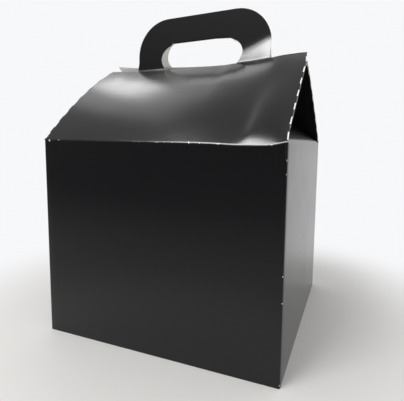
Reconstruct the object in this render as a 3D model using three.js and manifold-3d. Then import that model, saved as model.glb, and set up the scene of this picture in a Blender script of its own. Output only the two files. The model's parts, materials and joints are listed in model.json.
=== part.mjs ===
// Carry-out meal box folded from coated card: a square body with a locked bottom, and a gable roof
// of two flaps, each with half of the arched handle. The end gussets fold in under the roof.
// Millimetres, +Z up. The origin is at the middle of the bottom, and the front faces -Y.

import * as THREE from "three";
import { mergeVertices } from "three/addons/utils/BufferGeometryUtils.js";
import Module from "manifold-3d";

const wasm = await Module();
wasm.setup();

// Board and running clearances
const board = 0.5;
const layerGap = 0.3;
const hingeGap = 0.3;
const gussetClearance = 1.3;
const overlap = 0.2;

// Body, measured outside
const baseWidth = 150;
const baseDepth = 150;
const wallHeight = 123;
const wallLean = 1.8;
const cornerRadius = 1;
const seamWidth = 16;
const seamMargin = 2;

// Locked bottom: a base panel from the rear, two side flaps and a lock panel with its tongue
const basePanelReach = 98;
const basePanelNotchWidth = 74;
const basePanelNotchDepth = 14;
const sideFlapReach = 52;
const sideFlapTaper = 20;
const lockPanelReach = 62;
const tongueWidth = 66;
const tongueLength = 24;
const bottomSlit = 1;

// Roof, measured from the top of the walls
const ridgeHeight = 51.5;
const ridgeHalfLength = 70;
const ridgeGap = 9;
const roofBow = 3.5;
const roofBowPlace = 0.58;
const ridgeFold = 2.5;

// Handle plates, standing on the ridge
const handleTop = 84;
const handleTopGap = 6;
const handleHalfWidth = 48.3;
const handleCorner = 24;
const holeHalfWidth = 29.6;
const holeTop = 67.1;
const holeFoldHalf = 20;
const holeShoulderDrop = 2;
const holeEndHeight = 6.5;
const holeFootHalf = 26.3;
const tuckLength = 13;
const tuckCorner = 6;

// The two flaps stand a little askew: how much each ridge climbs and turns along its length
const frontRise = 0.02;
const frontTurn = 0.025;
const rearRise = 0.045;
const rearTurn = -0.025;

// Gussets, and the perforated creases along the sides of the roof
const gussetLength = 78;
const cutLength = 6.35;
const cutPitch = 12.7;
const firstCut = 6.2;
const foldBand = 0.8;
const foldEase = 0.3;
const shortestFold = 1.5;

// Facets
const bowSteps = 8;
const foldSteps = 4;
const arcSteps = 10;
const cornerSteps = 3;
const acrossSteps = 14;

const topHalfWidth = baseWidth / 2 - wallLean;
const topHalfDepth = baseDepth / 2 - wallLean;
const foldedStack = 2 * board + layerGap;
const roofLength = Math.hypot(topHalfDepth, ridgeHeight);
const gussetTopZ = (gussetLength * ridgeHeight) / roofLength;
const tooFar = 4 * Math.max(baseWidth, baseDepth, wallHeight);

// A view turns a drawn shape and its thickness into the object's axes.
const axisX = new THREE.Vector3(1, 0, 0);
const axisY = new THREE.Vector3(0, 1, 0);
const axisZ = new THREE.Vector3(0, 0, 1);
const sideView = new THREE.Matrix4().makeBasis(axisY, axisZ, axisX);
const frontView = new THREE.Matrix4().makeBasis(axisX, axisZ, axisY.clone().negate());
const planView = new THREE.Matrix4();

function solidOf(geometry) {
  const bare = geometry.clone();
  bare.deleteAttribute("normal");
  bare.deleteAttribute("uv");
  const merged = mergeVertices(bare);
  return new wasm.Manifold(
    new wasm.Mesh({
      numProp: 3,
      vertProperties: merged.attributes.position.array,
      triVerts: new Uint32Array(merged.index.array),
    }),
  );
}

function geometryOf(solid) {
  const mesh = solid.getMesh();
  const geometry = new THREE.BufferGeometry();
  geometry.setAttribute("position", new THREE.BufferAttribute(mesh.vertProperties, 3));
  geometry.setIndex(new THREE.BufferAttribute(mesh.triVerts, 1));
  return geometry;
}

// A prism of a shape drawn in a view, from one depth to another along that view's third axis.
function prism(shape, view, from, to, steps = 1) {
  const geometry = new THREE.ExtrudeGeometry(shape, {
    depth: to - from,
    steps,
    bevelEnabled: false,
    curveSegments: arcSteps,
  });
  geometry.translate(0, 0, from);
  geometry.applyMatrix4(view);
  return solidOf(geometry);
}

function through(shape, view) {
  return prism(shape, view, -tooFar, tooFar);
}

function polygon(points) {
  return new THREE.Shape(points.map(([x, y]) => new THREE.Vector2(x, y)));
}

function rectangle(left, bottom, right, top) {
  return polygon([
    [left, bottom],
    [right, bottom],
    [right, top],
    [left, top],
  ]);
}

// The line of a sheet moved over to its inner side.
function movedIn(line, distance) {
  return line.map((point, i) => {
    const before = line[Math.max(i - 1, 0)];
    const after = line[Math.min(i + 1, line.length - 1)];
    const along = after.clone().sub(before).normalize();
    return new THREE.Vector2(point.x + along.y * distance, point.y - along.x * distance);
  });
}

// One layer of a sheet that follows the line, between two depths under it, all across the roof.
function layer(line, from, to) {
  const section = new THREE.Shape([...movedIn(line, to), ...movedIn(line, from).reverse()]);
  return prism(section, sideView, -baseWidth / 2, baseWidth / 2, acrossSteps);
}

function roundedRectangle(halfX, halfY, radius) {
  const shape = new THREE.Shape();
  shape.moveTo(halfX - radius, -halfY);
  shape.absarc(halfX - radius, -halfY + radius, radius, -Math.PI / 2, 0);
  shape.absarc(halfX - radius, halfY - radius, radius, 0, Math.PI / 2);
  shape.absarc(-halfX + radius, halfY - radius, radius, Math.PI / 2, Math.PI);
  shape.absarc(-halfX + radius, -halfY + radius, radius, Math.PI, 1.5 * Math.PI);
  return shape;
}

// Walls: one sleeve of card with rounded folds, a little narrower at the top.
function walls() {
  const outline = roundedRectangle(baseWidth / 2, baseDepth / 2, cornerRadius);
  const inside = roundedRectangle(baseWidth / 2 - board, baseDepth / 2 - board, cornerRadius - board);
  outline.holes.push(inside);
  const geometry = new THREE.ExtrudeGeometry(outline, {
    depth: wallHeight,
    bevelEnabled: false,
    curveSegments: cornerSteps,
  });
  const position = geometry.attributes.position;
  for (let i = 0; i < position.count; i += 1) {
    const climb = position.getZ(i) / wallHeight;
    position.setX(i, position.getX(i) * (1 - (climb * wallLean) / (baseWidth / 2)));
    position.setY(i, position.getY(i) * (1 - (climb * wallLean) / (baseDepth / 2)));
  }
  return solidOf(geometry);
}

// Glued seam: a strip of the blank behind the left wall, beside the rear corner.
function seam() {
  const bottomX = -baseWidth / 2 + board;
  const topX = -topHalfWidth + board;
  const low = 4 * board + seamMargin;
  const lean = (topX - bottomX) / wallHeight;
  const section = polygon([
    [bottomX + lean * low - overlap, low],
    [bottomX + lean * low + board, low],
    [topX + board, wallHeight - seamMargin],
    [topX - overlap, wallHeight - seamMargin],
  ]);
  const rear = topHalfDepth - board + overlap;
  return prism(section, frontView, -rear, -rear + seamWidth);
}

// Bottom: the panels lie on each other in layers, each joined to its own wall only.
function bottom() {
  const wallX = baseWidth / 2 - overlap;
  const wallY = baseDepth / 2 - overlap;
  const innerX = baseWidth / 2 - board - bottomSlit;
  const innerY = baseDepth / 2 - board - bottomSlit;
  const tongueY = lockPanelReach - baseDepth / 2;
  const lockPanel = rectangle(-innerX, -wallY, innerX, tongueY);
  const riser = rectangle(-tongueWidth / 2, tongueY - board, tongueWidth / 2, tongueY);
  const tongue = rectangle(-tongueWidth / 2, tongueY - board, tongueWidth / 2, tongueY + tongueLength);
  const baseEdge = baseDepth / 2 - basePanelReach;
  const notchEdge = baseEdge + basePanelNotchDepth;
  const notchHalf = basePanelNotchWidth / 2;
  const basePanel = polygon([
    [-innerX, wallY],
    [-innerX, baseEdge],
    [-notchHalf, baseEdge],
    [-notchHalf, notchEdge],
    [notchHalf, notchEdge],
    [notchHalf, baseEdge],
    [innerX, baseEdge],
    [innerX, wallY],
  ]);
  const parts = [
    prism(lockPanel, planView, 0, board),
    prism(riser, planView, 0, 4 * board),
    prism(tongue, planView, 3 * board, 4 * board),
    prism(basePanel, planView, 2 * board, 3 * board),
  ];
  for (const side of [-1, 1]) {
    const flapEdge = baseWidth / 2 - sideFlapReach;
    const corners = [
      [side * wallX, -innerY],
      [side * wallX, innerY],
      [side * flapEdge, innerY - sideFlapTaper],
      [side * flapEdge, -innerY + sideFlapTaper],
    ];
    parts.push(prism(polygon(corners), planView, board, 2 * board));
  }
  return parts;
}

// The outer line of a roof flap, seen from the side: from its crease on the wall, bowed up to the
// ridge, then up the handle. Its origin is on the crease and its first axis points into the box.
const ridgeInset = topHalfDepth - ridgeGap / 2;
const handleTopInset = topHalfDepth - handleTopGap / 2;

function roofLine() {
  const chord = new THREE.Vector2(ridgeInset, ridgeHeight);
  const outward = new THREE.Vector2(-chord.y, chord.x).normalize();
  const bowed = chord.clone().multiplyScalar(roofBowPlace).addScaledVector(outward, 2 * roofBow);
  const ridge = chord.clone();
  const beforeRidge = ridge.clone().sub(ridge.clone().sub(bowed).normalize().multiplyScalar(ridgeFold));
  const handleEnd = new THREE.Vector2(handleTopInset, handleTop);
  const afterRidge = ridge.clone().add(handleEnd.clone().sub(ridge).normalize().multiplyScalar(ridgeFold));
  const roof = new THREE.QuadraticBezierCurve(new THREE.Vector2(0, 0), bowed, beforeRidge);
  const fold = new THREE.QuadraticBezierCurve(beforeRidge, ridge, afterRidge);
  return [...roof.getPoints(bowSteps), ...fold.getPoints(foldSteps).slice(1), handleEnd];
}

const outerLine = roofLine();
const roofOnly = outerLine.slice(0, bowSteps + 1);
const handleOnly = outerLine.slice(bowSteps + foldSteps);

// Where the side crease of the roof runs, at a height above the walls.
function sideCrease(z) {
  return topHalfWidth + ((ridgeHalfLength - topHalfWidth) * z) / ridgeHeight;
}

// The outline of the roof panel and its handle, seen from the front, with the hand hole cut out.
function flapOutline() {
  const shape = new THREE.Shape();
  const cornerX = handleHalfWidth - handleCorner;
  const cornerZ = handleTop - handleCorner;
  shape.moveTo(-topHalfWidth, 0);
  shape.lineTo(topHalfWidth, 0);
  shape.lineTo(ridgeHalfLength, ridgeHeight);
  shape.lineTo(handleHalfWidth, ridgeHeight);
  shape.absarc(cornerX, cornerZ, handleCorner, 0, Math.PI / 2);
  shape.absarc(-cornerX, cornerZ, handleCorner, Math.PI / 2, Math.PI);
  shape.lineTo(-handleHalfWidth, ridgeHeight);
  shape.lineTo(-ridgeHalfLength, ridgeHeight);
  shape.holes.push(handHole());
  return shape;
}

// The hand hole: a straight fold at the top, where its tuck turns up, and round ends.
function handHole() {
  const endZ = ridgeHeight + holeEndHeight;
  const shoulderZ = holeTop - holeShoulderDrop;
  const hole = new THREE.Path();
  hole.moveTo(-holeFootHalf, ridgeHeight);
  hole.quadraticCurveTo(-holeHalfWidth, ridgeHeight + holeEndHeight / 2, -holeHalfWidth, endZ);
  hole.quadraticCurveTo(-holeHalfWidth + 1, shoulderZ - holeShoulderDrop, -holeFoldHalf - 2, shoulderZ);
  hole.lineTo(-holeFoldHalf, holeTop);
  hole.lineTo(holeFoldHalf, holeTop);
  hole.lineTo(holeFoldHalf + 2, shoulderZ);
  hole.quadraticCurveTo(holeHalfWidth - 1, shoulderZ - holeShoulderDrop, holeHalfWidth, endZ);
  hole.quadraticCurveTo(holeHalfWidth, ridgeHeight + holeEndHeight / 2, holeFootHalf, ridgeHeight);
  return hole;
}

// The tuck of the hand hole, folded up behind the grip.
function handTuck() {
  const end = holeTop + tuckLength;
  const outline = new THREE.Shape();
  outline.moveTo(-holeFoldHalf, holeTop);
  outline.lineTo(holeFoldHalf, holeTop);
  outline.lineTo(holeFoldHalf, end - tuckCorner);
  outline.absarc(holeFoldHalf - tuckCorner, end - tuckCorner, tuckCorner, 0, Math.PI / 2);
  outline.absarc(-holeFoldHalf + tuckCorner, end - tuckCorner, tuckCorner, Math.PI / 2, Math.PI);
  const fold = rectangle(-holeFoldHalf, holeTop, holeFoldHalf, holeTop + foldBand);
  return [
    layer(handleOnly, foldedStack - board, foldedStack).intersect(through(outline, frontView)),
    layer(handleOnly, 0, foldedStack).intersect(through(fold, frontView)),
  ];
}

// The web of a gusset lies folded under the roof panel, from the side crease to the gusset's crease.
function web(side) {
  const gussetCrease = (z) => topHalfWidth - (topHalfDepth * z) / ridgeHeight + gussetClearance;
  const start = gussetClearance;
  const corners = [
    [side * sideCrease(start), start],
    [side * sideCrease(gussetTopZ), gussetTopZ],
    [side * gussetCrease(gussetTopZ), gussetTopZ],
    [side * gussetCrease(start), start],
  ];
  const outline = polygon(corners);
  return layer(roofOnly, foldedStack - board, foldedStack).intersect(through(outline, frontView));
}

// The side crease is perforated: what stays uncut between two cuts is a fold that joins panel and web.
function sideFolds(side) {
  const rise = ridgeHeight / roofLength;
  const stack = layer(roofOnly, 0, foldedStack);
  const folds = [];
  let start = hingeGap;
  for (let centre = firstCut; start < gussetLength - shortestFold; centre += cutPitch) {
    const end = Math.min(centre - cutLength / 2, gussetLength);
    const low = start * rise;
    const high = end * rise;
    const corners = [
      [side * (sideCrease(low) - foldBand), low],
      [side * (sideCrease(low) + board), low + foldEase],
      [side * (sideCrease(high) + board), high - foldEase],
      [side * (sideCrease(high) - foldBand), high],
    ];
    folds.push(stack.intersect(through(polygon(corners), frontView)));
    start = centre + cutLength / 2;
  }
  return folds;
}

// A roof flap with its handle, its hand-hole tuck and the two webs folded under it.
function roofFlap(rise, turn) {
  const sheet = layer(outerLine, 0, board).intersect(through(flapOutline(), frontView));
  const pieces = [sheet, ...handTuck()];
  for (const side of [-1, 1]) {
    pieces.push(web(side), ...sideFolds(side));
  }
  const joined = pieces.reduce((sum, piece) => sum.add(piece));
  const aboveCrease = through(rectangle(-tooFar, hingeGap, tooFar, tooFar), sideView);
  const geometry = geometryOf(joined.intersect(aboveCrease));
  const position = geometry.attributes.position;
  for (let i = 0; i < position.count; i += 1) {
    const lever = (position.getX(i) * position.getZ(i)) / ridgeHeight;
    position.setY(i, position.getY(i) + turn * lever);
    position.setZ(i, position.getZ(i) + rise * lever);
  }
  return geometry;
}

// The end triangles lean in from the side walls and stop short of the ridge, clear of the webs.
function gussetEnds() {
  const depth = foldedStack + gussetClearance;
  const front = movedIn(roofOnly, depth).map((point) => [point.x - topHalfDepth, point.y + wallHeight]);
  const rear = front.map(([y, z]) => [-y, z]).reverse();
  const low = wallHeight - 2 * depth;
  const underRoof = polygon([[front[0][0], low], ...front, ...rear, [-front[0][0], low]]);
  const slope = new THREE.Vector2(-topHalfDepth, ridgeHeight).normalize();
  const inward = new THREE.Vector2(-slope.y, slope.x);
  const crease = new THREE.Vector2(topHalfWidth, wallHeight);
  const tip = crease.clone().addScaledVector(slope, gussetLength);
  const corners = [
    crease,
    tip,
    tip.clone().addScaledVector(inward, board),
    crease.clone().addScaledVector(inward, board),
  ];
  return [-1, 1].map((side) => {
    const section = polygon(corners.map((point) => [side * point.x, point.y]));
    return through(section, frontView).intersect(through(underRoof, sideView));
  });
}

function cartonBody() {
  const pieces = [walls(), seam(), ...bottom(), ...gussetEnds()];
  return geometryOf(pieces.reduce((sum, piece) => sum.add(piece)));
}

const coatedCard = { color: 0x1c1c1f, roughness: 0.28, metalness: 0 };

function cardPiece(name, geometry) {
  const piece = new THREE.Mesh(geometry, new THREE.MeshStandardMaterial(coatedCard));
  piece.name = name;
  return piece;
}

const mealBox = new THREE.Group();
mealBox.add(cardPiece("carton_body", cartonBody()));

const frontFlap = cardPiece("front_roof_flap", roofFlap(frontRise, frontTurn));
frontFlap.position.set(0, -topHalfDepth, wallHeight);
mealBox.add(frontFlap);

const rearFlap = cardPiece("rear_roof_flap", roofFlap(rearRise, rearTurn));
rearFlap.position.set(0, topHalfDepth, wallHeight);
rearFlap.rotation.z = Math.PI;
mealBox.add(rearFlap);

export default mealBox;
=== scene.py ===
import json
import math

import bmesh
import bpy
from mathutils import Matrix, Vector


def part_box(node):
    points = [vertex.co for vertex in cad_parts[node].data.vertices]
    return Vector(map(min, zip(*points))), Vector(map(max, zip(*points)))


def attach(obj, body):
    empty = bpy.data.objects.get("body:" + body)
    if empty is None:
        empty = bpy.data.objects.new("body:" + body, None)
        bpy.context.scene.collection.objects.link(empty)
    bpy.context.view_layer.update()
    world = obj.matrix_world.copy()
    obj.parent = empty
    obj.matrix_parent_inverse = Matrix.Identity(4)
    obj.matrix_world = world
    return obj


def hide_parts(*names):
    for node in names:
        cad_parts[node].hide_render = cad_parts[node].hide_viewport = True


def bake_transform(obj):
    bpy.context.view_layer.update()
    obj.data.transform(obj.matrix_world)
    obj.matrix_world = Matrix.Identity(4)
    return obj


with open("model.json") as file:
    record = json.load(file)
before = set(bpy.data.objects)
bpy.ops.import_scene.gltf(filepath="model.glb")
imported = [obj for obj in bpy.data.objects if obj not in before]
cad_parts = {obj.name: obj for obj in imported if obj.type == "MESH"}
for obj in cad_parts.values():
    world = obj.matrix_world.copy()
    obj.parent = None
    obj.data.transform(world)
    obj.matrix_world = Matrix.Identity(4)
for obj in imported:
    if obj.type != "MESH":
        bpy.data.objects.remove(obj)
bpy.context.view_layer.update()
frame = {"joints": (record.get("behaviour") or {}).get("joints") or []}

# The card's sizes are in millimetres, as on the die, and become metres when a piece is finished.
MM = 0.001

# Board, and how it lies when it is folded
BOARD = 0.5
LAYER_GAP = 0.3
FOLDED_STACK = 2 * BOARD + LAYER_GAP

# Body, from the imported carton
BODY_LOW, BODY_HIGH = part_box("carton_body")
BASE_WIDTH = (BODY_HIGH.x - BODY_LOW.x) / MM
BASE_DEPTH = (BODY_HIGH.y - BODY_LOW.y) / MM
CREASE = Vector(frame["joints"][0]["pos_m"]) / MM
WALL_HEIGHT = CREASE.z
TOP_HALF_DEPTH = -CREASE.y
WALL_LEAN = BASE_DEPTH / 2 - TOP_HALF_DEPTH
TOP_HALF_WIDTH = BASE_WIDTH / 2 - WALL_LEAN
CORNER_RADIUS = 1
SEAM_WIDTH = 16
SEAM_MARGIN = 2
SKIRT = 8

# Locked bottom
BASE_PANEL_REACH = 98
BASE_PANEL_NOTCH_WIDTH = 74
BASE_PANEL_NOTCH_DEPTH = 14
SIDE_FLAP_REACH = 52
SIDE_FLAP_TAPER = 20
LOCK_PANEL_REACH = 62
TONGUE_WIDTH = 66
TONGUE_LENGTH = 24
BOTTOM_SLIT = 1
LOCK_LEVEL = 0
SIDE_FLAP_LEVEL = BOARD
BASE_LEVEL = 2 * BOARD
TONGUE_LEVEL = 3 * BOARD

# Roof, measured from the top of the walls
RIDGE_HEIGHT = 51.5
RIDGE_HALF_LENGTH = 70
RIDGE_GAP = 9
ROOF_BOW = 3.5
ROOF_BOW_PLACE = 0.58
RIDGE_FOLD = 0.8

# Handle plates
HANDLE_TOP = 84
HANDLE_TOP_GAP = 6
HANDLE_HALF_WIDTH = 48.3
HANDLE_CORNER = 24
HOLE_HALF_WIDTH = 29.6
HOLE_TOP = 67.1
HOLE_FOLD_HALF = 20
HOLE_FOLD_CORNER = 2
HOLE_SHOULDER_DROP = 2
HOLE_SHOULDER_PULL = 1
REAR_HOLE_LIFT = 2.9
HOLE_END_HEIGHT = 6.5
HOLE_FOOT_HALF = 26.3
HOLE_TOPS = {"front": HOLE_TOP + FOLDED_STACK / 2, "rear": HOLE_TOP + REAR_HOLE_LIFT}
TUCK_LENGTH = 13
TUCK_CORNER = 6

# Gussets and the perforated side creases
GUSSET_LENGTH = 86
CUT_LENGTH = 6.35
CUT_PITCH = 12.7
FIRST_CUT = 4.7
CUT_EDGE = 0.6
CUT_DROP = 0.28
FOLD_START = 0.3
FOLD_EASE = 0.55
FOLD_ROOT = 1.8
FOLD_SINK = 0.02

# How each flap stands askew: its ridge's climb and its turn along its length
ASKEW = {"front": (0.02, 0.025), "rear": (0.045, -0.025)}

# The lines that the sheets are cut along, so that they bend smoothly
COLUMN_STEP = 2.0
ROW_STEP = 2.0
FINE_STEP = 0.5
RIDGE_BAND = 4
SLEEVE_STEP = 5
END_STEP = 4
BOTTOM_STEP = 10
CORNER_COUNT = 4
ARC_STEPS = 14
FOLD_ARC_STEPS = 8
FOLD_STEP = 1.2
WEB_START = 0.6
WEB_EASE = 0.3
WEB_REACH = 0.9
WEB_BEND = 4.2
WEB_FINE_STEP = 0.35
WEB_STEP = 4.0
CREASE_SHARP = math.radians(38)
MERGE_DISTANCE = 0.001
ON_LINE = 0.0001
NEARLY_STRAIGHT = 1e-6
JUST_ABOVE = 0.01
FACING = 0.5


def steps(start, end, size):
    """Places from start to end, about size apart."""
    count = max(1, round((end - start) / size))
    return [start + (end - start) * i / count for i in range(count + 1)]


def curve(start, control, end, count=ARC_STEPS):
    """Points after the start on a quadratic curve."""
    found = []
    for i in range(1, count + 1):
        t = i / count
        found.append(tuple(
            (1 - t) ** 2 * a + 2 * t * (1 - t) * b + t * t * c for a, b, c in zip(start, control, end)
        ))
    return found


def arc(centre, radius, start, end, count=ARC_STEPS):
    """Points on an arc, both ends included."""
    return [
        (centre[0] + radius * math.cos(angle), centre[1] + radius * math.sin(angle))
        for angle in (start + (end - start) * i / count for i in range(count + 1))
    ]


# Sheets of card: each is drawn flat, cut into rows and columns, given its thickness, and folded
def drawn_sheet(outlines, mirrored=False):
    """A flat sheet in the front view, its coated face towards -Y."""
    sheet = bmesh.new()
    for outline in outlines:
        sheet.faces.new([sheet.verts.new((x, 0, z)) for x, z in outline])
    if mirrored:
        whole = sheet.verts[:] + sheet.edges[:] + sheet.faces[:]
        bmesh.ops.mirror(sheet, geom=whole, axis="X", merge_dist=MERGE_DISTANCE)
    bmesh.ops.remove_doubles(sheet, verts=sheet.verts, dist=MERGE_DISTANCE)
    return sheet


def cut_line(sheet, point, across):
    """Cuts the sheet along a line that passes the point, square to the direction across."""
    bmesh.ops.bisect_plane(
        sheet,
        geom=sheet.verts[:] + sheet.edges[:] + sheet.faces[:],
        dist=ON_LINE,
        plane_co=(point[0], 0, point[1]),
        plane_no=(across[0], 0, across[1]),
    )


def cut_grid(sheet, columns, rows):
    for x in columns:
        cut_line(sheet, (x, 0), (1, 0))
    for z in rows:
        cut_line(sheet, (0, z), (0, 1))


def thicken(sheet, depth=0.0, coat_behind=False):
    """Gives the flat sheet the board's thickness, with the coat on one side and bare board elsewhere."""
    bmesh.ops.recalc_face_normals(sheet, faces=sheet.faces)
    backwards = [face for face in sheet.faces if face.normal.y > 0]
    bmesh.ops.reverse_faces(sheet, faces=backwards)
    bmesh.ops.solidify(sheet, geom=sheet.faces[:], thickness=BOARD)
    lowest = min(vert.co.y for vert in sheet.verts)
    bmesh.ops.translate(sheet, verts=sheet.verts, vec=(0, depth - lowest, 0))
    sheet.normal_update()
    coat_side = 1 if coat_behind else -1
    for face in sheet.faces:
        face.material_index = 0 if face.normal.y * coat_side > FACING else 1
        face.smooth = True


def fold(sheet, rule, wear=None):
    """Moves every point of the flat sheet to where the rule puts it, and notes its wear."""
    layer = sheet.verts.layers.float.new("crease_wear")
    for vert in sheet.verts:
        if wear:
            vert[layer] = wear(vert.co.x, vert.co.z)
        vert.co = rule(vert.co.x, vert.co.y, vert.co.z)


def finished(sheet, name, materials):
    """Turns the folded sheet into a piece at its real size."""
    bmesh.ops.recalc_face_normals(sheet, faces=sheet.faces)
    bmesh.ops.scale(sheet, verts=sheet.verts, vec=(MM, MM, MM))
    mesh = bpy.data.meshes.new(name)
    sheet.to_mesh(mesh)
    sheet.free()
    mesh.set_sharp_from_angle(angle=CREASE_SHARP)
    for material in materials:
        mesh.materials.append(material)
    piece = bpy.data.objects.new(name, mesh)
    bpy.context.scene.collection.objects.link(piece)
    return piece


# Roof profile: how far in from the crease the outer face lies, at a height above the walls
RIDGE_INSET = TOP_HALF_DEPTH - RIDGE_GAP / 2
HANDLE_TOP_INSET = TOP_HALF_DEPTH - HANDLE_TOP_GAP / 2


def profile_curves():
    chord = Vector((RIDGE_INSET, RIDGE_HEIGHT))
    outward = Vector((-chord.y, chord.x)).normalized()
    bowed = chord * ROOF_BOW_PLACE + outward * 2 * ROOF_BOW
    before = chord - (chord - bowed).normalized() * RIDGE_FOLD
    top = Vector((HANDLE_TOP_INSET, HANDLE_TOP))
    after = chord + (top - chord).normalized() * RIDGE_FOLD
    return [(Vector((0, 0)), bowed, before), (before, chord, after), (after, (after + top) / 2, top)]


PROFILE = profile_curves()
WALL_SLOPE = WALL_LEAN / WALL_HEIGHT


def profile_at(z):
    """Inset and slope (inset gained for each millimetre of climb) of the sharp roof profile."""
    if z < 0:
        return z * WALL_SLOPE, WALL_SLOPE
    for start, control, end in PROFILE:
        if z <= end.y or end is PROFILE[-1][2]:
            a = start.y - 2 * control.y + end.y
            b = 2 * (control.y - start.y)
            c = start.y - z
            root = math.sqrt(max(b * b - 4 * a * c, 0))
            t = -c / b if abs(a) < NEARLY_STRAIGHT else (root - b) / (2 * a)
            inset = (1 - t) ** 2 * start.x + 2 * t * (1 - t) * control.x + t * t * end.x
            run = 2 * ((1 - t) * (control.x - start.x) + t * (end.x - control.x))
            climb = 2 * ((1 - t) * (control.y - start.y) + t * (end.y - control.y))
            return inset, run / climb


def softened(z, reach, turn):
    """How far a fold's rounding draws the sheet in near the crease."""
    if abs(z) >= reach:
        return 0
    return turn * ((z + reach) ** 2 / (4 * reach) - max(z, 0))


FOLD_TURN = profile_at(JUST_ABOVE)[1] - WALL_SLOPE


def through(places, x):
    """A smooth line through places, each an x and a value there."""
    x = min(max(x, places[0][0]), places[-1][0])
    i = max(k for k in range(len(places) - 1) if places[k][0] <= x)
    start, end = places[i], places[i + 1]
    before = places[max(i - 1, 0)]
    after = places[min(i + 2, len(places) - 1)]
    width = end[0] - start[0]
    slope_in = (end[1] - before[1]) / (end[0] - before[0]) * width
    slope_out = (after[1] - start[1]) / (after[0] - start[0]) * width
    t = (x - start[0]) / width
    bend = (1 - t) * slope_in - t * slope_out + (2 * t - 1) * (end[1] - start[1])
    return start[1] + t * (end[1] - start[1]) + t * (1 - t) * bend


def smooth(value, start, end):
    """Rises smoothly from 0 at the start to 1 at the end."""
    t = min(max((value - start) / (end - start), 0), 1)
    return t * t * (3 - 2 * t)


# How the sheets are out of true, x along the ridge as seen from each sheet's own side
RIDGE_LIFTS = {
    "front": (
        (-70, 0.5), (-58, -0.2), (-48, -0.9), (-30, -1.1), (-10, -1.5), (8, -1.9), (26, -2.1),
        (39, -1.9), (49, -1.3), (58, 0.2), (66, 1.2), (70, 1.1),
    ),
    "rear": ((-70, 2.1), (-50, 1.4), (-30, 0.6), (0, 0.4), (30, 0.4), (55, 0.9), (64, 1.7), (70, 2.2)),
}
LIFT_FADE = {"front": 16, "rear": 32}
FRONT_CREASE_SAG = (
    (-73, 0.0), (-50, 0.1), (-32, 0.4), (0, 0.8), (23, 1.1), (38, 1.4), (48, 1.9), (56, 2.1),
    (65, 1.8), (69.5, 0.9), (73, 0.0),
)
SAG_FADE = 25
CREASE_ROUND = {"front": 0.3, "rear": 0.8}

# The front panel's bulge over the right of its crease
BULGE_PLACE = 61
BULGE_WIDTH = 11
BULGE_SHARP = 1.5
BULGE_START = 1
BULGE_REACH = 10
BULGE_TURN = 0.46
BULGE_FADE = 30
RIGHT_FLATTER = 6

# The handle's right leg, which leans back from its foot, and the left legs, which stand nearer the middle
LEG_SLOPE = 0.4
LEG_FLAT = ((26, 3), (38, 6.5), (48, 9.5), (70, 9.5))
LEG_EASE = 6
LEAN_START = (16, 26)
LEAN_END = (50, 68)
LEAN_ROOT = 4
LEFT_LEG_TUCK = {"front": 0.9, "rear": 1.4}

# The right sides of the panels, which stand out up the roof and tuck in at their foot
SIDE_SPREAD = {"front": 2.7, "rear": 5.2}
SPREAD_GROWTH = 1.5
SPREAD_ROOT = 4
SIDE_TUCK = 0.7
TUCK_FADE = 6
FRONT_CORNER_PULL = 0.8
FRONT_CORNER = (45, 51)


def lift_share(side, z):
    """The lift grows up the roof and fades again above the ridge."""
    if z < 0:
        return 0
    if z < RIDGE_HEIGHT:
        return (z / RIDGE_HEIGHT) ** 2
    return max(0, 1 - (z - RIDGE_HEIGHT) / LIFT_FADE[side]) ** 2


def swell(value, centre, width):
    """A smooth hump of height one."""
    return math.exp(-(((value - centre) / width) ** 2))


def crease_sag(side, x, z):
    """How much lower the front crease lies along its length, fading up the roof."""
    if side == "rear":
        return 0
    return through(FRONT_CREASE_SAG, x) * max(0, 1 - max(z, 0) / SAG_FADE) ** 2


def leg_lean(x, climb):
    """How far the right leg of the handle stands forward at its foot, where it leans back."""
    share = smooth(x, *LEAN_START) * (1 - smooth(x, *LEAN_END))
    flat = through(LEG_FLAT, x)
    if climb < flat:
        return share * LEG_SLOPE * (flat + LEG_EASE / 2 - climb)
    return share * LEG_SLOPE * max(0, flat + LEG_EASE - climb) ** 2 / (2 * LEG_EASE)


def front_inset(x, z):
    """Front panel: it starts steeply over the right of the crease, and its right leg leans back."""
    share = swell(x, BULGE_PLACE, BULGE_WIDTH)
    turn = BULGE_TURN * min(1, BULGE_SHARP * share)
    reach = BULGE_START + BULGE_REACH * share
    inset = profile_at(z)[0] + softened(z, CREASE_ROUND["front"], FOLD_TURN - turn)
    if z > 0:
        t = min(z / reach, 1)
        bulge = turn * reach * (t - t ** 3 + t ** 4 / 2)
        inset -= bulge * (1 - smooth(z, reach, reach + BULGE_FADE))
    if 0 < z < RIDGE_HEIGHT:
        flatter = RIGHT_FLATTER * max(0, x / TOP_HALF_WIDTH) ** 2
        inset += flatter * 4 * z * (RIDGE_HEIGHT - z) / RIDGE_HEIGHT ** 2
    if z < RIDGE_HEIGHT:
        return inset - leg_lean(x, 0) * (max(z, 0) / RIDGE_HEIGHT) ** LEAN_ROOT
    return inset - leg_lean(x, z - RIDGE_HEIGHT)


def rear_inset(x, z):
    return profile_at(z)[0] + softened(z, CREASE_ROUND["rear"], FOLD_TURN)


def spread(side, x, z):
    """How far one side of a panel stands out beyond its straight line."""
    if x < 0:
        above_ridge = smooth(z, RIDGE_HEIGHT, RIDGE_HEIGHT + LEG_EASE)
        return LEFT_LEG_TUCK[side] * (x / HANDLE_HALF_WIDTH) ** 2 * above_ridge
    if z < 0:
        return 0
    share = min(z / RIDGE_HEIGHT, 1)
    fade = max(0, 1 - max(z - RIDGE_HEIGHT, 0) / TUCK_FADE)
    if side == "front":
        fade *= 1 - FRONT_CORNER_PULL * smooth(z, *FRONT_CORNER)
    out = SIDE_SPREAD[side] * share ** SPREAD_GROWTH - SIDE_TUCK * min(1, z / TUCK_FADE)
    return out * fade * (x / TOP_HALF_WIDTH) ** SPREAD_ROOT


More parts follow.
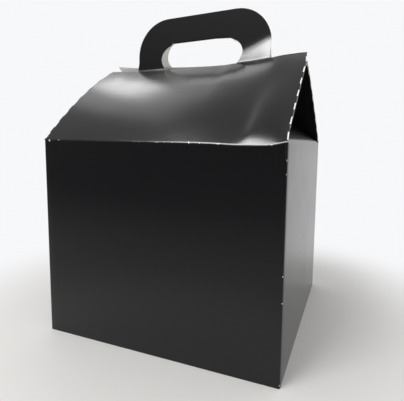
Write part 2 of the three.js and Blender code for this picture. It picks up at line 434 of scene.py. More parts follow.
INSETS = {"front": front_inset, "rear": rear_inset}
PROBE = 0.05


def roof_rule(side, x, depth, z):
    """Where a point of a roof sheet lies, x and z as seen from the front and depth into the card."""
    inset_at = INSETS[side]
    inset = inset_at(x, z)
    run = (inset_at(x, z + PROBE) - inset_at(x, z - PROBE)) / (2 * PROBE)
    along = Vector((run, 1)).normalized()
    inset += along.y * depth
    height = z - along.x * depth
    rise, turn = ASKEW[side]
    lever = x * max(z, 0) / RIDGE_HEIGHT
    inset += turn * lever
    height += rise * lever + through(RIDGE_LIFTS[side], x) * lift_share(side, z) - crease_sag(side, x, z)
    x += spread(side, x, z)
    if side == "front":
        return Vector((x, -TOP_HALF_DEPTH + inset, WALL_HEIGHT + height))
    return Vector((-x, TOP_HALF_DEPTH - inset, WALL_HEIGHT + height))


def side_crease(z):
    """Where the side crease of the roof runs."""
    if z < 0:
        return TOP_HALF_WIDTH - CORNER_RADIUS - z * WALL_SLOPE
    return TOP_HALF_WIDTH + (RIDGE_HALF_LENGTH - TOP_HALF_WIDTH) * z / RIDGE_HEIGHT


def cut_lengths():
    """Lowest and highest place of each perforation cut, as a height above the walls."""
    rise = RIDGE_HEIGHT / math.hypot(TOP_HALF_DEPTH, RIDGE_HEIGHT)
    centre = FIRST_CUT
    found = []
    while centre < GUSSET_LENGTH:
        found.append(((centre - CUT_LENGTH / 2) * rise, (centre + CUT_LENGTH / 2) * rise))
        centre += CUT_PITCH
    return found


CUTS = cut_lengths()
GUSSET_TOP = GUSSET_LENGTH * RIDGE_HEIGHT / math.hypot(TOP_HALF_DEPTH, RIDGE_HEIGHT)


def half_flap_outline(hole_top):
    """Right half of a roof flap, with half of the hand hole left out of it."""
    corner = (HANDLE_HALF_WIDTH - HANDLE_CORNER, HANDLE_TOP - HANDLE_CORNER)
    shoulder = hole_top - HOLE_SHOULDER_DROP
    end = RIDGE_HEIGHT + HOLE_END_HEIGHT
    middle = RIDGE_HEIGHT + HOLE_END_HEIGHT / 2
    shoulder_point = (HOLE_FOLD_HALF + HOLE_FOLD_CORNER, shoulder)
    shoulder_control = (HOLE_HALF_WIDTH - HOLE_SHOULDER_PULL, shoulder - HOLE_SHOULDER_DROP)
    end_point = (HOLE_HALF_WIDTH, end)
    foot_point = (HOLE_FOOT_HALF, RIDGE_HEIGHT)
    outline = [
        (0, -SKIRT),
        (side_crease(-SKIRT), -SKIRT),
        (side_crease(-FINE_STEP), -FINE_STEP),
        (TOP_HALF_WIDTH, 0),
        (RIDGE_HALF_LENGTH, RIDGE_HEIGHT),
        (HANDLE_HALF_WIDTH, RIDGE_HEIGHT),
    ]
    outline += arc(corner, HANDLE_CORNER, 0, math.pi / 2)
    outline += [(0, HANDLE_TOP), (0, hole_top), (HOLE_FOLD_HALF, hole_top), shoulder_point]
    outline += curve(shoulder_point, shoulder_control, end_point)
    outline += curve(end_point, (HOLE_HALF_WIDTH, middle), foot_point)
    outline += [(0, RIDGE_HEIGHT)]
    return outline


# Chips in the coat on the front crease and up the front right corner, each a place and a height
CREASE_CHIPS = ((-69, -0.5), (23.4, 0))
CORNER_CHIP_HEIGHTS = (59, 45.3, 1.8)
CHIP_REACH = 1.2
CHIP_DEPTH = 2
CREASE_WEAR_REACH = 1.2
SIDE_WEAR_REACH = 1.5
CORNER_WEAR_REACH = 1.6
EDGE_WEAR_REACH = 1.0
SLEEVE_WEAR = 0.97


def near(distance, reach):
    """Falls from 1 at a line to 0 at the reach on both sides of it."""
    return max(0, 1 - abs(distance) / reach)


def chip(across, up):
    """How bare the board is near the middle of a chip."""
    return CHIP_DEPTH * near(math.hypot(across, up), CHIP_REACH)


def around_chip(place):
    """Lines to cut a sheet along, so that a chip keeps its shape."""
    return [place - CHIP_REACH / 2, place, place + CHIP_REACH / 2]


def flap_wear(side, x, z):
    """Wear runs along the front crease and the side creases."""
    found = [near(z, CREASE_WEAR_REACH)]
    if z < RIDGE_HEIGHT:
        found.append(near(side_crease(max(z, 0)) - abs(x), SIDE_WEAR_REACH))
    if side == "front":
        found += [chip(x - place, z - height) for place, height in CREASE_CHIPS]
    return max(found)


def roof_sheet(side):
    """A roof panel with its half of the handle: one sheet, from just under the crease to the grip."""
    sheet = drawn_sheet([half_flap_outline(HOLE_TOPS[side])], mirrored=True)
    columns = steps(-TOP_HALF_WIDTH, TOP_HALF_WIDTH, COLUMN_STEP)[1:-1]
    columns += [line for place, _ in CREASE_CHIPS for line in around_chip(place)]
    rows = steps(-SKIRT, SKIRT, FINE_STEP) + steps(SKIRT, RIDGE_HEIGHT - RIDGE_BAND, ROW_STEP)[1:]
    rows += steps(RIDGE_HEIGHT - RIDGE_BAND, RIDGE_HEIGHT + RIDGE_BAND, FINE_STEP)[1:]
    rows += steps(RIDGE_HEIGHT + RIDGE_BAND, HANDLE_TOP, ROW_STEP)[1:-1]
    rows += [edge for cut in CUTS for edge in cut]
    cut_grid(sheet, columns, rows)
    slant = Vector((RIDGE_HEIGHT, TOP_HALF_WIDTH - RIDGE_HALF_LENGTH)).normalized()
    for hand in (-1, 1):
        cut_line(sheet, (hand * (TOP_HALF_WIDTH - CUT_EDGE), 0), (hand * slant.x, slant.y))
    thicken(sheet)
    mark_cut_edges(sheet)
    add_side_folds(sheet)
    add_hand_tuck(sheet, HOLE_TOPS[side])
    fold(sheet, lambda x, depth, z: roof_rule(side, x, depth, z), lambda x, z: flap_wear(side, x, z))
    return sheet


def mark_cut_edges(sheet):
    """Along each perforation cut the edge is pressed down, and shows the white of the board."""
    for face in sheet.faces:
        middle = face.calc_center_median()
        near_edge = side_crease(max(middle.z, 0)) - abs(middle.x) < CUT_EDGE
        if near_edge and any(low < middle.z < high for low, high in CUTS):
            face.material_index = 1
    for vert in sheet.verts:
        x, z = vert.co.x, vert.co.z
        short = CUT_EDGE - (side_crease(max(z, 0)) - abs(x))
        if short > 0 and any(low < z < high for low, high in CUTS):
            outer = vert.co.y < BOARD / 2
            vert.co.y += CUT_DROP * outer * short / CUT_EDGE


def add_side_folds(sheet):
    """The uncut lengths of both side creases."""
    starts = [FOLD_START] + [high for low, high in CUTS]
    ends = [low for low, high in CUTS] + [GUSSET_TOP]
    for start, end in zip(starts, ends):
        if end - start < FOLD_STEP:
            continue
        for hand in (-1, 1):
            low = (hand * (side_crease(start) - FOLD_EASE), start)
            high = (hand * (side_crease(end) - FOLD_EASE), end)
            for face in add_fold(sheet, low, high, (hand, 0)):
                face.smooth = True


def add_hand_tuck(sheet, hole_top):
    tuck = drawn_sheet([tuck_outline(hole_top)], mirrored=True)
    columns = steps(-HOLE_FOLD_HALF, HOLE_FOLD_HALF, ROW_STEP)
    cut_grid(tuck, columns, steps(hole_top, hole_top + TUCK_LENGTH, ROW_STEP))
    thicken(tuck, FOLDED_STACK - BOARD, coat_behind=True)
    joined = bpy.data.meshes.new("tuck")
    tuck.to_mesh(joined)
    tuck.free()
    sheet.from_mesh(joined)
    bpy.data.meshes.remove(joined)
    add_fold(sheet, (-HOLE_FOLD_HALF, hole_top), (HOLE_FOLD_HALF, hole_top), (0, -1))


def add_fold(sheet, start, end, outward):
    """Uncut card at a fold: half a round bar from the panel to the layer folded under it."""
    radius = FOLDED_STACK / 2
    section = [(-FOLD_ROOT, BOARD / 2), (-FOLD_EASE, FOLD_SINK)]
    section += arc((0, radius), radius, -math.pi / 2, math.pi / 2, FOLD_ARC_STEPS)
    section += [(-FOLD_ROOT, FOLDED_STACK)]
    along = Vector(end) - Vector(start)
    side = Vector(outward).normalized()
    corners = [
        sheet.verts.new((start[0] + side.x * out, depth, start[1] + side.y * out))
        for out, depth in section
    ]
    faces = [sheet.faces.new(corners)]
    count = max(1, round(along.length / FOLD_STEP))
    made = list(faces)
    for _ in range(count):
        grown = bmesh.ops.extrude_face_region(sheet, geom=faces, use_keep_orig=False)["geom"]
        points = [part for part in grown if isinstance(part, bmesh.types.BMVert)]
        bmesh.ops.translate(sheet, verts=points, vec=(along.x / count, 0, along.y / count))
        faces = [part for part in grown if isinstance(part, bmesh.types.BMFace)]
        made += faces
    return made


def tuck_outline(hole_top):
    """The flap cut from the hand hole, folded up behind the grip."""
    end = hole_top + TUCK_LENGTH
    corner = (HOLE_FOLD_HALF - TUCK_CORNER, end - TUCK_CORNER)
    outline = [(0, hole_top), (HOLE_FOLD_HALF, hole_top)]
    outline += arc(corner, TUCK_CORNER, 0, math.pi / 2)
    outline += [(0, end)]
    return outline


def web_outline(hand):
    """A gusset's web under the roof panel, from the side crease to the gusset's own crease."""
    heights = steps(WEB_START, GUSSET_TOP, ROW_STEP)
    outer = [(hand * (side_crease(z) - WEB_EASE), z) for z in heights]
    start = TOP_HALF_WIDTH + WEB_REACH
    inner = [(hand * (start - TOP_HALF_WIDTH * z / RIDGE_HEIGHT), z) for z in heights]
    return outer + inner[::-1]


def web_sheet(side, hand):
    """A web, coated all round, cut along its gusset crease and in fine strips beside it."""
    sheet = drawn_sheet([web_outline(hand)])
    across = Vector((RIDGE_HEIGHT, TOP_HALF_WIDTH)).normalized()
    beside_crease = steps(WEB_FINE_STEP, WEB_BEND, WEB_FINE_STEP)
    for place in beside_crease + steps(WEB_BEND, TOP_HALF_WIDTH, WEB_STEP)[1:]:
        beside = (hand * (TOP_HALF_WIDTH + place / across.x), 0)
        cut_line(sheet, beside, (hand * across.x, across.y))
    for place in steps(0, GUSSET_LENGTH, WEB_STEP)[1:]:
        on_crease = (hand * (TOP_HALF_WIDTH - place * across.y), place * across.x)
        cut_line(sheet, on_crease, (-hand * across.y, across.x))
    thicken(sheet, FOLDED_STACK - BOARD, coat_behind=True)
    for face in sheet.faces:
        face.material_index = 0
    fold(sheet, lambda x, depth, z: roof_rule(side, x, depth, z))
    return sheet


# Materials
COAT_BLACK = (0.0062, 0.006, 0.0072, 1)
COAT_IOR = 1.42
COAT_ROUGHNESS = (0.17, 0.23)
COAT_CLOUD_SIZE = 60
COAT_CLOUD_DETAIL = 5
COAT_GRAIN = {"size": 1400, "strength": 0.12, "depth": 0.0001}
BARE_BOARD = (0.62, 0.6, 0.56, 1)
BOARD_SHADES = ((0.72, 0.7, 0.66, 1), (0.9, 0.885, 0.86, 1))
BOARD_ROUGHNESS = 0.85
BOARD_GRAIN = {"size": 1100, "strength": 0.4, "depth": 0.0002}
MOTTLE_DETAIL = 4
HAIR_DETAIL = 3
HAIR_STRETCH = (0.25, 0.25, 1.6)
WEAR_SPOT_SIZE = 500
WEAR_SPOT_DETAIL = 2
WEAR_LEVEL = 0.62


def node(tree, kind, **settings):
    made = tree.nodes.new(kind)
    for name, value in settings.items():
        setattr(made, name, value)
    return made


def new_group(name, inputs, outputs):
    """A shader node group with named inputs and outputs, and its two end nodes."""
    tree = bpy.data.node_groups.new(name, "ShaderNodeTree")
    for label, kind in inputs:
        tree.interface.new_socket(name=label, in_out="INPUT", socket_type=kind)
    for label, kind in outputs:
        tree.interface.new_socket(name=label, in_out="OUTPUT", socket_type=kind)
    return tree, node(tree, "NodeGroupInput"), node(tree, "NodeGroupOutput")


def paper_grain_group():
    """Height of the board's fibres: a fine mottle and short hairs that run along the sheet."""
    tree, entry, leave = new_group(
        "paper_grain",
        [("Vector", "NodeSocketVector"), ("Size", "NodeSocketFloat")],
        [("Height", "NodeSocketFloat")],
    )
    link = tree.links.new
    mottle = node(tree, "ShaderNodeTexNoise")
    mottle.inputs["Detail"].default_value = MOTTLE_DETAIL
    link(entry.outputs["Vector"], mottle.inputs["Vector"])
    link(entry.outputs["Size"], mottle.inputs["Scale"])
    stretch = node(tree, "ShaderNodeVectorMath", operation="MULTIPLY")
    stretch.inputs[1].default_value = HAIR_STRETCH
    link(entry.outputs["Vector"], stretch.inputs[0])
    hairs = node(tree, "ShaderNodeTexNoise")
    hairs.inputs["Detail"].default_value = HAIR_DETAIL
    link(stretch.outputs[0], hairs.inputs["Vector"])
    link(entry.outputs["Size"], hairs.inputs["Scale"])
    both = node(tree, "ShaderNodeMath", operation="ADD")
    link(mottle.outputs["Fac"], both.inputs[0])
    link(hairs.outputs["Fac"], both.inputs[1])
    link(both.outputs[0], leave.inputs["Height"])
    return tree


def crease_wear_group():
    """Mask of the spots where the coat has cracked off a crease."""
    tree, entry, leave = new_group(
        "crease_wear",
        [("Vector", "NodeSocketVector"), ("Crease", "NodeSocketFloat")],
        [("Mask", "NodeSocketFloat")],
    )
    link = tree.links.new
    spots = node(tree, "ShaderNodeTexNoise")
    spots.inputs["Scale"].default_value = WEAR_SPOT_SIZE
    spots.inputs["Detail"].default_value = WEAR_SPOT_DETAIL
    link(entry.outputs["Vector"], spots.inputs["Vector"])
    both = node(tree, "ShaderNodeMath", operation="MULTIPLY")
    link(spots.outputs["Fac"], both.inputs[0])
    link(entry.outputs["Crease"], both.inputs[1])
    bare = node(tree, "ShaderNodeMath", operation="GREATER_THAN")
    bare.inputs[1].default_value = WEAR_LEVEL
    link(both.outputs[0], bare.inputs[0])
    link(bare.outputs[0], leave.inputs["Mask"])
    return tree


def place_group(tree, group):
    made = node(tree, "ShaderNodeGroup")
    made.node_tree = group
    return made


def new_material(name):
    material = bpy.data.materials.new(name)
    material.use_nodes = True
    tree = material.node_tree
    return material, tree, tree.nodes["Principled BSDF"]


PAPER_GRAIN = paper_grain_group()
CREASE_WEAR = crease_wear_group()


def add_grain(tree, place, shader, size, strength, depth):
    """The board's fibres as a bump in the shader's normal."""
    grain = place_group(tree, PAPER_GRAIN)
    grain.inputs["Size"].default_value = size
    tree.links.new(place.outputs["Object"], grain.inputs["Vector"])
    bump = node(tree, "ShaderNodeBump")
    bump.inputs["Strength"].default_value = strength
    bump.inputs["Distance"].default_value = depth
    tree.links.new(grain.outputs["Height"], bump.inputs["Height"])
    tree.links.new(bump.outputs["Normal"], shader.inputs["Normal"])
    return grain


def black_coat():
    """Glossy black coating: a little uneven in its gloss, and cracked to bare board at the creases."""
    material, tree, shader = new_material("black_gloss_coat")
    link = tree.links.new
    shader.inputs["IOR"].default_value = COAT_IOR
    place = node(tree, "ShaderNodeTexCoord")
    worn = place_group(tree, CREASE_WEAR)
    crease = node(tree, "ShaderNodeAttribute", attribute_name="crease_wear")
    link(place.outputs["Object"], worn.inputs["Vector"])
    link(crease.outputs["Fac"], worn.inputs["Crease"])
    paint = node(tree, "ShaderNodeMix", data_type="RGBA")
    paint.inputs[6].default_value = COAT_BLACK
    paint.inputs[7].default_value = BARE_BOARD
    link(worn.outputs["Mask"], paint.inputs[0])
    link(paint.outputs[2], shader.inputs["Base Color"])
    uneven = node(tree, "ShaderNodeTexNoise")
    uneven.inputs["Scale"].default_value = COAT_CLOUD_SIZE
    uneven.inputs["Detail"].default_value = COAT_CLOUD_DETAIL
    link(place.outputs["Object"], uneven.inputs["Vector"])
    gloss = node(tree, "ShaderNodeMapRange")
    gloss.inputs["To Min"].default_value, gloss.inputs["To Max"].default_value = COAT_ROUGHNESS
    link(uneven.outputs["Fac"], gloss.inputs["Value"])
    link(gloss.outputs["Result"], shader.inputs["Roughness"])
    add_grain(tree, place, shader, **COAT_GRAIN)
    return material


def bare_board():
    """Uncoated side and cut edges: pale, matt and fibrous."""
    material, tree, shader = new_material("bare_board")
    link = tree.links.new
    shader.inputs["Roughness"].default_value = BOARD_ROUGHNESS
    place = node(tree, "ShaderNodeTexCoord")
    grain = add_grain(tree, place, shader, **BOARD_GRAIN)
    shade = node(tree, "ShaderNodeMix", data_type="RGBA")
    shade.inputs[6].default_value, shade.inputs[7].default_value = BOARD_SHADES
    link(grain.outputs["Height"], shade.inputs[0])
    link(shade.outputs[2], shader.inputs["Base Color"])
    return material


CARD_FINISH = [black_coat(), bare_board()]


# Walls: the sleeve is one strip of the blank, wrapped round the box
STRAIGHT = BASE_WIDTH - 2 * CORNER_RADIUS
CORNER_ARC = CORNER_RADIUS * math.pi / 2
STRIP = [STRAIGHT, STRAIGHT, STRAIGHT, STRAIGHT - BOARD, SEAM_WIDTH]
WALL_STARTS = [sum(STRIP[:i]) + i * CORNER_ARC for i in range(len(STRIP))]
STRIP_LENGTH = WALL_STARTS[-1] + STRIP[-1]
SIDE_MIDDLES = [WALL_STARTS[0] + STRAIGHT / 2, WALL_STARTS[2] + STRAIGHT / 2]
SIDE_FOLD_REACH = 2.2
SEEK_ROUNDS = 8
END_START = 1
SIDE_FOLD_TURN = math.atan2(TOP_HALF_WIDTH, RIDGE_HEIGHT)


def around_box(place):
    """Point on the sleeve's outer face at a place along the strip, and the direction into the box."""
    point = Vector((-BASE_WIDTH / 2, BASE_DEPTH / 2 - CORNER_RADIUS))
    heading = -math.pi / 2
    for start, length in zip(WALL_STARTS, STRIP):
        along = Vector((math.cos(heading), math.sin(heading)))
        inward = Vector((-along.y, along.x))
        if place <= start + length:
            return point + along * (place - start), inward
        point = point + along * length
        turned = (place - start - length) / CORNER_RADIUS
        centre = point + inward * CORNER_RADIUS
        if turned < math.pi / 2:
            inward_now = Matrix.Rotation(turned, 2) @ inward
            return centre - inward_now * CORNER_RADIUS, inward_now
        heading += math.pi / 2
        point = centre - Matrix.Rotation(math.pi / 2, 2) @ inward * CORNER_RADIUS
    return point, inward


def bent(climb, reach, angle):
    """Inward run, height and direction of a strip that turns by the angle over the reach."""
    if climb <= -reach:
        return 0, climb, 0
    radius = 2 * reach / angle
    turned = min(angle, (climb + reach) / radius)
    run = radius * (1 - math.cos(turned))
    height = radius * math.sin(turned) - reach
    rest = max(0, climb - reach)
    return run + rest * math.sin(angle), height + rest * math.cos(angle), turned


def sleeve_rule(place, depth, z):
    point, inward = around_box(place)
    run, height, turned = bent(z - WALL_HEIGHT, SIDE_FOLD_REACH, SIDE_FOLD_TURN)
    on_side = any(abs(place - middle) < STRAIGHT / 2 for middle in SIDE_MIDDLES)
    if on_side:
        into = run + depth * math.cos(turned)
        up = WALL_HEIGHT + height - depth * math.sin(turned)
    else:
        into = depth
        up = z
    spot = point + inward * into
    lean = 1 - min(up, WALL_HEIGHT) / WALL_HEIGHT * WALL_LEAN / (BASE_WIDTH / 2)
    return Vector((spot.x * lean, spot.y * lean, up))


def web_underside(side, x, height):
    """Distance from the middle of the box to the underside of a roof flap's web, at x and a height."""
    local_x = x if side == "front" else -x
    z = height
    for _ in range(SEEK_ROUNDS):
        spot = roof_rule(side, local_x, FOLDED_STACK, z)
        z += height - (spot.z - WALL_HEIGHT)
    return abs(spot.y)


def end_reach(hand, side, climb):
    """Half width of an end triangle towards a side, where its slope meets the web."""
    run, height, turned = bent(climb, SIDE_FOLD_REACH, SIDE_FOLD_TURN)
    lean = 1 - WALL_LEAN / (BASE_WIDTH / 2)
    x = hand * max(TOP_HALF_WIDTH - run * lean, 0)
    return min(web_underside(side, x, height) / lean, STRAIGHT / 2)


def sleeve_outline():
    """The strip with an end triangle over each side wall."""
    top = WALL_HEIGHT - SKIRT
    corner_top = WALL_HEIGHT - FINE_STEP
    seam = WALL_STARTS[4]
    outline = [(0, 0), (seam - CORNER_ARC / 2, 0), (seam - CORNER_ARC / 2, SEAM_MARGIN)]
    outline += [(STRIP_LENGTH, 2 * SEAM_MARGIN), (STRIP_LENGTH, WALL_HEIGHT - 2 * SEAM_MARGIN)]
    outline += [(seam, WALL_HEIGHT - SEAM_MARGIN)]
    outline += [(seam - CORNER_ARC, corner_top), (seam - CORNER_ARC, top)]
    outline += [(WALL_STARTS[3], top), (WALL_STARTS[3], corner_top)]
    climbs = steps(END_START, GUSSET_LENGTH, END_STEP)
    for wall, hand, ahead, behind in ((2, 1, "rear", "front"), (0, -1, "front", "rear")):
        middle = WALL_STARTS[wall] + STRAIGHT / 2
        outline += [(middle + STRAIGHT / 2, WALL_HEIGHT)]
        for side, direction, order in ((ahead, 1, climbs), (behind, -1, climbs[::-1])):
            for climb in order:
                reach = end_reach(hand, side, climb)
                outline.append((middle + direction * reach, WALL_HEIGHT + climb))
        outline += [(middle - STRAIGHT / 2, WALL_HEIGHT)]
        if wall:
            wall_end = WALL_STARTS[wall] - CORNER_ARC
            outline += [(wall_end, corner_top), (wall_end, top)]
            outline += [(WALL_STARTS[1], top), (WALL_STARTS[1], corner_top)]
    return outline


def sleeve_wear(place, z):
    """Wear runs up the corners, along the foot and along the top of the walls."""
    corners = [start - CORNER_ARC / 2 for start in WALL_STARTS[1:4]]
    worn = [near(place - corner, CORNER_WEAR_REACH) for corner in corners]
    worn += [near(z, EDGE_WEAR_REACH), near(z - WALL_HEIGHT, EDGE_WEAR_REACH)]
    front_right = corners[1]
    chips = [chip(place - front_right, z - height) for height in CORNER_CHIP_HEIGHTS]
    return max(SLEEVE_WEAR * max(worn), *chips)


def sleeve():
    sheet = drawn_sheet([sleeve_outline()])
    columns = []
    for start, length in zip(WALL_STARTS, STRIP):
        columns += steps(start, start + length, SLEEVE_STEP)
        columns += steps(start - CORNER_ARC, start, CORNER_ARC / CORNER_COUNT)[:-1] if start else []
    rows = steps(0, WALL_HEIGHT - SKIRT, SLEEVE_STEP)[1:]
    rows += steps(WALL_HEIGHT - SKIRT, WALL_HEIGHT + SKIRT, FINE_STEP)
    rows += steps(WALL_HEIGHT + SKIRT, WALL_HEIGHT + GUSSET_LENGTH, SLEEVE_STEP)[1:-1]
    rows += [FINE_STEP, 2 * FINE_STEP]
    rows += [line for height in CORNER_CHIP_HEIGHTS for line in around_chip(height)]
    cut_grid(sheet, columns, rows)
    thicken(sheet)
    fold(sheet, sleeve_rule, sleeve_wear)
    return sheet


def bottom_panel(outline, level):
    """A panel of the bottom, coated underneath, lying at a level above the ground."""
    sheet = drawn_sheet([outline])
    columns = steps(-BASE_WIDTH / 2, BASE_WIDTH / 2, BOTTOM_STEP)
    cut_grid(sheet, columns, steps(-BASE_DEPTH / 2, BASE_DEPTH / 2, BOTTOM_STEP))
    thicken(sheet)
    fold(sheet, lambda x, depth, y: Vector((x, y, level + depth)))
    return sheet


def rectangle(left, low, right, high):
    return [(left, low), (right, low), (right, high), (left, high)]


def locked_bottom():
    """Lock panel lowest, then the side flaps, the base panel with its notch, and the tongue on top."""
    half = BASE_WIDTH / 2 - BOARD
    inner = half - BOTTOM_SLIT
    tongue_foot = LOCK_PANEL_REACH - BASE_DEPTH / 2
    base_edge = BASE_DEPTH / 2 - BASE_PANEL_REACH
    notch = BASE_PANEL_NOTCH_WIDTH / 2
    base_panel = [(-inner, half), (-inner, base_edge), (-notch, base_edge)]
    base_panel += [(hand * notch, base_edge + BASE_PANEL_NOTCH_DEPTH) for hand in (-1, 1)]
    base_panel += [(notch, base_edge), (inner, base_edge), (inner, half)]
    tongue_half = TONGUE_WIDTH / 2
    tongue = rectangle(-tongue_half, tongue_foot, tongue_half, tongue_foot + TONGUE_LENGTH)
    panels = [
        bottom_panel(rectangle(-inner, -half, inner, tongue_foot), LOCK_LEVEL),
        bottom_panel(base_panel, BASE_LEVEL),
        bottom_panel(tongue, TONGUE_LEVEL),
    ]
    for hand in (-1, 1):
        edge = BASE_WIDTH / 2 - SIDE_FLAP_REACH
        flap = [(half, -inner), (half, inner)]
        flap += [(edge, inner - SIDE_FLAP_TAPER), (edge, SIDE_FLAP_TAPER - inner)]
        panels.append(bottom_panel([(hand * x, y) for x, y in flap], SIDE_FLAP_LEVEL))
    riser = drawn_sheet([rectangle(-tongue_half, 0, tongue_half, TONGUE_LEVEL)])
    thicken(riser)
    fold(riser, lambda x, depth, z: Vector((x, tongue_foot - BOARD + depth, z + BOARD / 2)))
    panels.append(riser)
    return joined_sheets(panels)


def joined_sheets(sheets):
    """One bmesh that holds several sheets."""
    whole = sheets[0]
    for sheet in sheets[1:]:
        holder = bpy.data.meshes.new("holder")
        sheet.to_mesh(holder)
        sheet.free()
        whole.from_mesh(holder)
        bpy.data.meshes.remove(holder)
    return whole


bottom_panels = finished(locked_bottom(), "bottom_panels", CARD_FINISH)
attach(bottom_panels, "carton")

carton_sleeve = finished(sleeve(), "carton_sleeve", CARD_FINISH)
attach(carton_sleeve, "carton")
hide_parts("carton_body")

for side, outward in (("front", -1), ("rear", 1)):
    piece = finished(roof_sheet(side), f"{side}_roof_sheet", CARD_FINISH)
    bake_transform(piece)
    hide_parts(f"{side}_roof_flap")
    for hand, place in ((-1, "left"), (1, "right")):
        web = finished(web_sheet(side, hand), f"{side}_{place}_web", CARD_FINISH)
        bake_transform(web)


# Floor, light and camera
BACKDROP = (0.93, 0.935, 0.95, 1)
FLOOR_COLOUR = (0.75, 0.74, 0.72, 1)
FLOOR_ROUGHNESS = 0.6
FLOOR_RADIUS = 6.0
FLOOR_SEGMENTS = 96
FLOOR_FADE = (0.12, 0.24)

# How bright the floor and the room look in the gloss: a place or direction along Y, and the light
# there, and for the upper room a direction along Z
FLOOR_MIRROR = ((-0.6, 0.12), (0.1, 0.86))
ROOM_MIRROR = ((-1, 0.05), (1, 0.82))
UPPER_ROOM_MIRROR = ((0.05, 0), (0.35, 0.5))
ROOM_LIGHT = (0.78, 0.78, 0.78, 1)

# Lamps: direction from the box, width, height and power
LAMP_AIM = Vector((0, 0, 0.12))
KEY_DISTANCE = 1.3
KEY_LAMP = ((-0.27, -0.54, 0.8), 0.48, 0.48, 7)
REFLECTOR_DISTANCE = 1.25
REFLECTORS = {
    "front_reflector": ((-0.249, -0.398, 0.883), 0.6, 0.4, 14.5),
    "left_reflector": ((-0.556, 0.374, 0.743), 0.2, 0.2, 0.56),
    "wide_left_reflector": ((-0.53, 0.3, 0.79), 0.5, 0.5, 0.75),
    "broad_left_reflector": ((-0.48, 0.4, 0.78), 0.75, 0.75, 0.4),
}

CAMERA_PLACE = Vector((0.10164, -0.24229, 0.12268))
CAMERA_TURN = math.radians(22.665)
CAMERA_DOWN = math.radians(9.24)
CAMERA_ROLL = math.radians(0.502)
CAMERA_LENS = 32.328
CAMERA_SENSOR = 36
CAMERA_NEAR = 0.01


def ramp(tree, start, end, kind="LINEAR"):
    """A node that turns one value into another, between two pairs of both."""
    made = node(tree, "ShaderNodeMapRange", interpolation_type=kind)
    made.inputs["From Min"].default_value, made.inputs["To Min"].default_value = start
    made.inputs["From Max"].default_value, made.inputs["To Max"].default_value = end
    return made


def studio_floor():
    """A large pale floor that fades away from the box: to white for the camera, and in the gloss to a
    painted glow, dim in front and bright behind.
    """
    floor = bmesh.new()
    bmesh.ops.create_circle(floor, cap_ends=True, segments=FLOOR_SEGMENTS, radius=FLOOR_RADIUS)
    mesh = bpy.data.meshes.new("studio_floor")
    floor.to_mesh(mesh)
    floor.free()
    piece = bpy.data.objects.new("studio_floor", mesh)
    bpy.context.scene.collection.objects.link(piece)
    material, tree, shader = new_material("pale_floor")
    link = tree.links.new
    shader.inputs["Roughness"].default_value = FLOOR_ROUGHNESS
    shader.inputs["Base Color"].default_value = FLOOR_COLOUR
    place = node(tree, "ShaderNodeTexCoord")
    far = node(tree, "ShaderNodeVectorMath", operation="LENGTH")
    link(place.outputs["Object"], far.inputs[0])
    fade = ramp(tree, (FLOOR_FADE[0], 0), (FLOOR_FADE[1], 1), "SMOOTHSTEP")
    link(far.outputs["Value"], fade.inputs["Value"])
    rays = node(tree, "ShaderNodeLightPath")
    seen = node(tree, "ShaderNodeMath", operation="MAXIMUM")
    link(rays.outputs["Is Camera Ray"], seen.inputs[0])
    link(rays.outputs["Is Glossy Ray"], seen.inputs[1])
    share = node(tree, "ShaderNodeMath", operation="MULTIPLY")
    link(fade.outputs["Result"], share.inputs[0])
    link(seen.outputs[0], share.inputs[1])
    split = node(tree, "ShaderNodeSeparateXYZ")
    link(place.outputs["Object"], split.inputs[0])
    # Seen in the gloss, the far floor glows with painted light: dim in front of the box and bright behind
    # it
    front = ramp(tree, *FLOOR_MIRROR)
    link(split.outputs["Y"], front.inputs["Value"])
    shown = node(tree, "ShaderNodeMix", data_type="RGBA")
    shown.inputs[7].default_value = BACKDROP
    link(rays.outputs["Is Camera Ray"], shown.inputs[0])
    link(front.outputs["Result"], shown.inputs[6])
    glow = node(tree, "ShaderNodeEmission")
    link(shown.outputs[2], glow.inputs["Color"])
    mix = node(tree, "ShaderNodeMixShader")
    link(share.outputs[0], mix.inputs[0])
    link(shader.outputs[0], mix.inputs[1])
    link(glow.outputs[0], mix.inputs[2])
    link(mix.outputs[0], tree.nodes["Material Output"].inputs["Surface"])
    mesh.materials.append(material)


studio_floor()


def soft_lamp(name, distance, direction, width, height, power):
    """A soft lamp that looks at the box from a direction."""
    lamp = bpy.data.lights.new(name, "AREA")
    lamp.shape = "RECTANGLE"
    lamp.size = width
    lamp.size_y = height
    lamp.energy = power
    holder = bpy.data.objects.new(name, lamp)
    towards = Vector(direction).normalized()
    holder.location = LAMP_AIM + towards * distance
    holder.rotation_euler = towards.to_track_quat("Z", "Y").to_euler()
    bpy.context.scene.collection.objects.link(holder)
    return holder


soft_lamp("key_lamp", KEY_DISTANCE, *KEY_LAMP)

# Reflectors show only in the gloss of the coat
for name, reflector in REFLECTORS.items():
    soft_lamp(name, REFLECTOR_DISTANCE, *reflector).visible_diffuse = False


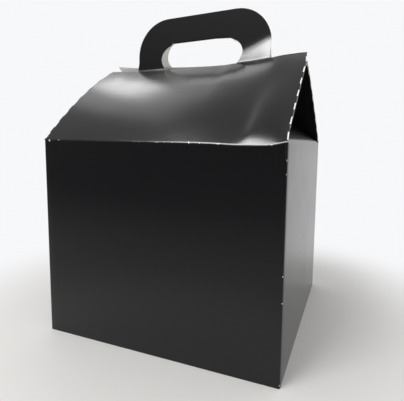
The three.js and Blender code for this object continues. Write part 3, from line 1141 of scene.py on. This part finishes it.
def studio_world():
    world = bpy.data.worlds.new("studio_world")
    bpy.context.scene.world = world
    world.use_nodes = True
    tree = world.node_tree
    tree.nodes.clear()
    link = tree.links.new
    out = node(tree, "ShaderNodeOutputWorld")
    rays = node(tree, "ShaderNodeLightPath")
    seen = node(tree, "ShaderNodeBackground")
    seen.inputs["Color"].default_value = BACKDROP
    light = node(tree, "ShaderNodeBackground")
    light.inputs["Color"].default_value = ROOM_LIGHT
    direction = node(tree, "ShaderNodeTexCoord")
    split = node(tree, "ShaderNodeSeparateXYZ")
    link(direction.outputs["Generated"], split.inputs[0])
    shade = ramp(tree, *ROOM_MIRROR)
    link(split.outputs["Y"], shade.inputs["Value"])
    upper = ramp(tree, *UPPER_ROOM_MIRROR)
    link(split.outputs["Z"], upper.inputs["Value"])
    brighter = node(tree, "ShaderNodeMath", operation="MAXIMUM")
    link(shade.outputs["Result"], brighter.inputs[0])
    link(upper.outputs["Result"], brighter.inputs[1])
    mirror = node(tree, "ShaderNodeBackground")
    link(brighter.outputs[0], mirror.inputs["Color"])
    glossy = node(tree, "ShaderNodeMixShader")
    link(rays.outputs["Is Glossy Ray"], glossy.inputs[0])
    link(light.outputs[0], glossy.inputs[1])
    link(mirror.outputs[0], glossy.inputs[2])
    final = node(tree, "ShaderNodeMixShader")
    link(rays.outputs["Is Camera Ray"], final.inputs[0])
    link(glossy.outputs[0], final.inputs[1])
    link(seen.outputs[0], final.inputs[2])
    link(final.outputs[0], out.inputs["Surface"])


studio_world()

camera = bpy.data.cameras.new("camera")
camera.lens = CAMERA_LENS
camera.sensor_width = CAMERA_SENSOR
camera.clip_start = CAMERA_NEAR
holder = bpy.data.objects.new("camera", camera)
turn = Matrix.Rotation(CAMERA_TURN, 4, "Z")
tip = Matrix.Rotation(math.pi / 2 - CAMERA_DOWN, 4, "X")
roll = Matrix.Rotation(CAMERA_ROLL, 4, "Z")
holder.matrix_world = Matrix.Translation(CAMERA_PLACE) @ turn @ tip @ roll
bpy.context.scene.collection.objects.link(holder)
bpy.context.scene.camera = holder
bpy.context.scene.view_settings.view_transform = "Standard"
